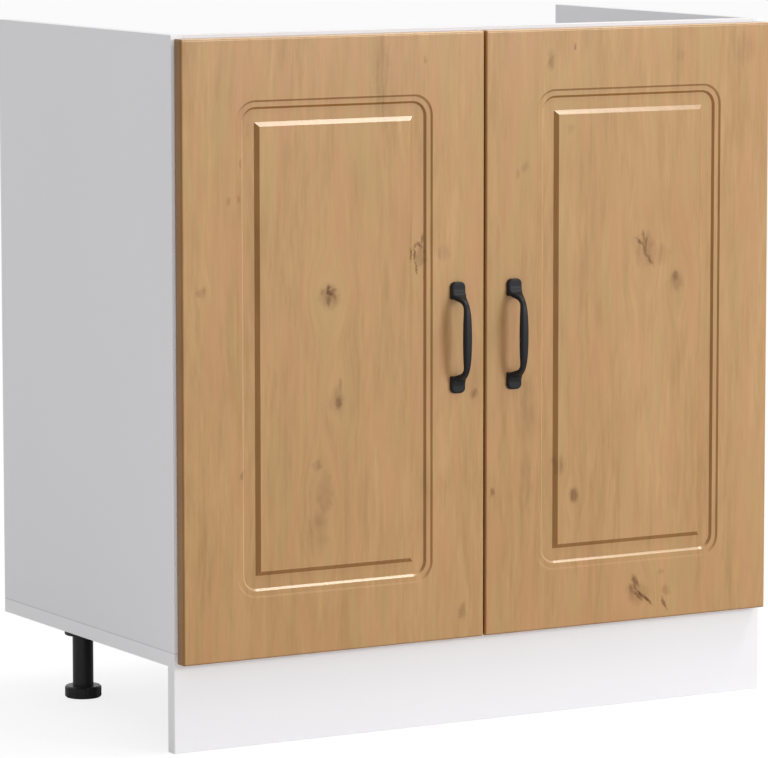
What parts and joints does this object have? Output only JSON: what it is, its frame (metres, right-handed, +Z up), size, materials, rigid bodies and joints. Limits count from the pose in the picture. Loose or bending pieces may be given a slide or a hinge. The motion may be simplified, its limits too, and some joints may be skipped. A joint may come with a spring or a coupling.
{
  "type": "sink base cabinet",
  "caption": "Sink base cabinet with an open top and back, routed oak-look doors on concealed hinges, black bow handles, a plinth board and adjustable legs.",
  "frame": {"origin": "on the floor, under the middle of the closed cabinet's bounding box, handles included", "axes": "+Z up, -Y towards the doors, +X to the right of someone who faces the doors"},
  "size_m": [0.8, 0.488, 0.815],
  "materials": {
    "white_board": "satin",
    "oak_film": "satin",
    "beech": "matte",
    "zinc": "satin",
    "hinge_steel": "satin",
    "pin_steel": "satin",
    "screw_steel": "satin",
    "black_casting": "satin",
    "black_plastic": "satin",
    "clear_rubber": "matte"
  },
  "bodies": {
    "carcass": {"bottom_panel": "white_board", "cam_bolts": "zinc", "cam_housings": "zinc", "dowels": "beech", "front_rail": "white_board", "hinge_arm_left_lower": "hinge_steel", "hinge_arm_left_upper": "hinge_steel", "hinge_arm_pins": "pin_steel", "hinge_arm_right_lower": "hinge_steel", "hinge_arm_right_upper": "hinge_steel", "hinge_arm_screws": "screw_steel", "hinge_plate_left_lower": "hinge_steel", "hinge_plate_left_upper": "hinge_steel", "hinge_plate_right_lower": "hinge_steel", "hinge_plate_right_upper": "hinge_steel", "hinge_plate_screws": "screw_steel", "leg_screws": "screw_steel", "leg_socket_back_left": "black_plastic", "leg_socket_back_right": "black_plastic", "leg_socket_front_left": "black_plastic", "leg_socket_front_right": "black_plastic", "leg_tube_back_left": "black_plastic", "leg_tube_back_right": "black_plastic", "leg_tube_front_left": "black_plastic", "leg_tube_front_right": "black_plastic", "plinth": "white_board", "plinth_clip_left": "black_plastic", "plinth_clip_right": "black_plastic", "plinth_clip_screws": "screw_steel", "rear_rail": "white_board", "side_panel_left": "white_board", "side_panel_right": "white_board"},
    "foot_front_left": {"foot_front_left": "black_plastic"},
    "foot_back_left": {"foot_back_left": "black_plastic"},
    "foot_front_right": {"foot_front_right": "black_plastic"},
    "foot_back_right": {"foot_back_right": "black_plastic"},
    "outer_links_left": {"outer_link_left_lower": "hinge_steel", "outer_link_left_upper": "hinge_steel"},
    "inner_links_left": {"inner_link_left_lower": "hinge_steel", "inner_link_left_upper": "hinge_steel"},
    "door_left": {"door_left": "oak_film", "handle_left": "black_casting", "handle_screws_left": "screw_steel", "cup_pins_left": "pin_steel", "cup_screws_left": "screw_steel", "bumper_pads_left": "clear_rubber", "hinge_cup_left_lower": "hinge_steel", "hinge_cup_left_upper": "hinge_steel"},
    "outer_links_right": {"outer_link_right_lower": "hinge_steel", "outer_link_right_upper": "hinge_steel"},
    "inner_links_right": {"inner_link_right_lower": "hinge_steel", "inner_link_right_upper": "hinge_steel"},
    "door_right": {"door_right": "oak_film", "handle_right": "black_casting", "handle_screws_right": "screw_steel", "cup_pins_right": "pin_steel", "cup_screws_right": "screw_steel", "bumper_pads_right": "clear_rubber", "hinge_cup_right_lower": "hinge_steel", "hinge_cup_right_upper": "hinge_steel"}
  },
  "joints": [
    {"name": "outer_links_left_turn", "type": "hinge", "parent": "carcass", "child": "outer_links_left", "pos_m": [-0.3607, -0.1909, 0.457], "axis": [0, 0, 1], "range_deg": [0, 27.93]},
    {"name": "door_left_swing", "type": "hinge", "parent": "outer_links_left", "child": "door_left", "pos_m": [-0.3866, -0.202, 0.457], "axis": [0, 0, -1], "range_deg": [0, 122.9]},
    {"name": "inner_links_left_turn", "type": "hinge", "parent": "carcass", "child": "inner_links_left", "pos_m": [-0.3658, -0.2068, 0.457], "axis": [0, 0, 1], "range_deg": [0, 24.7]},
    {"name": "outer_links_right_turn", "type": "hinge", "parent": "carcass", "child": "outer_links_right", "pos_m": [0.3607, -0.1909, 0.457], "axis": [0, 0, -1], "range_deg": [0, 27.93]},
    {"name": "door_right_swing", "type": "hinge", "parent": "outer_links_right", "child": "door_right", "pos_m": [0.3866, -0.202, 0.457], "axis": [0, 0, 1], "range_deg": [0, 122.9]},
    {"name": "inner_links_right_turn", "type": "hinge", "parent": "carcass", "child": "inner_links_right", "pos_m": [0.3658, -0.2068, 0.457], "axis": [0, 0, -1], "range_deg": [0, 24.7]},
    {"name": "foot_front_left_adjust", "type": "slide", "parent": "carcass", "child": "foot_front_left", "axis": [0, 0, -1], "range_m": [0, 0.015]},
    {"name": "foot_back_left_adjust", "type": "slide", "parent": "carcass", "child": "foot_back_left", "axis": [0, 0, -1], "range_m": [0, 0.015]},
    {"name": "foot_front_right_adjust", "type": "slide", "parent": "carcass", "child": "foot_front_right", "axis": [0, 0, -1], "range_m": [0, 0.015]},
    {"name": "foot_back_right_adjust", "type": "slide", "parent": "carcass", "child": "foot_back_right", "axis": [0, 0, -1], "range_m": [0, 0.015]}
  ],
  "couplings": [
    {"joint": "outer_links_left_turn", "follows": "door_left_swing", "ratio": 0.2272},
    {"joint": "inner_links_left_turn", "follows": "door_left_swing", "ratio": 0.2009},
    {"joint": "outer_links_right_turn", "follows": "door_right_swing", "ratio": 0.2272},
    {"joint": "inner_links_right_turn", "follows": "door_right_swing", "ratio": 0.2009}
  ]
}
